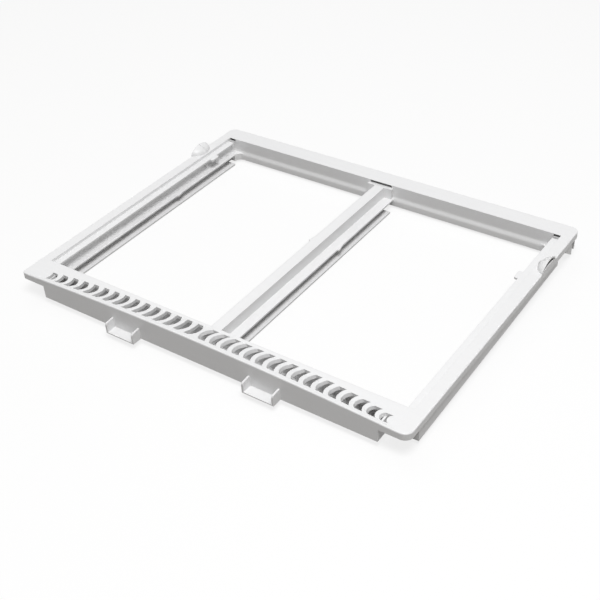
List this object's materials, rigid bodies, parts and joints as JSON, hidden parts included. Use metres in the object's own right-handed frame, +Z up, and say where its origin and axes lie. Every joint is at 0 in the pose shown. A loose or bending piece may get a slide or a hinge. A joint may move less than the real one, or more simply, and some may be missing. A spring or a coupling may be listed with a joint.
{
  "type": "refrigerator drawer cover frame",
  "caption": "Flat moulded cover frame for refrigerator drawers, with open windows for a pane, a crowned louvred front edge, runners below and small brackets on the front skirt.",
  "frame": {"origin": "centre of the bounding box in plan, at the level of the runner undersides", "axes": "+X to the right along the louvred front edge, +Y from the front edge to the back rail, +Z up"},
  "size_m": [0.622, 0.5034, 0.0509],
  "materials": {
    "body": "satin white moulding"
  },
  "bodies": {
    "root": {"crisper_cover": "body"}
  },
  "joints": []
}
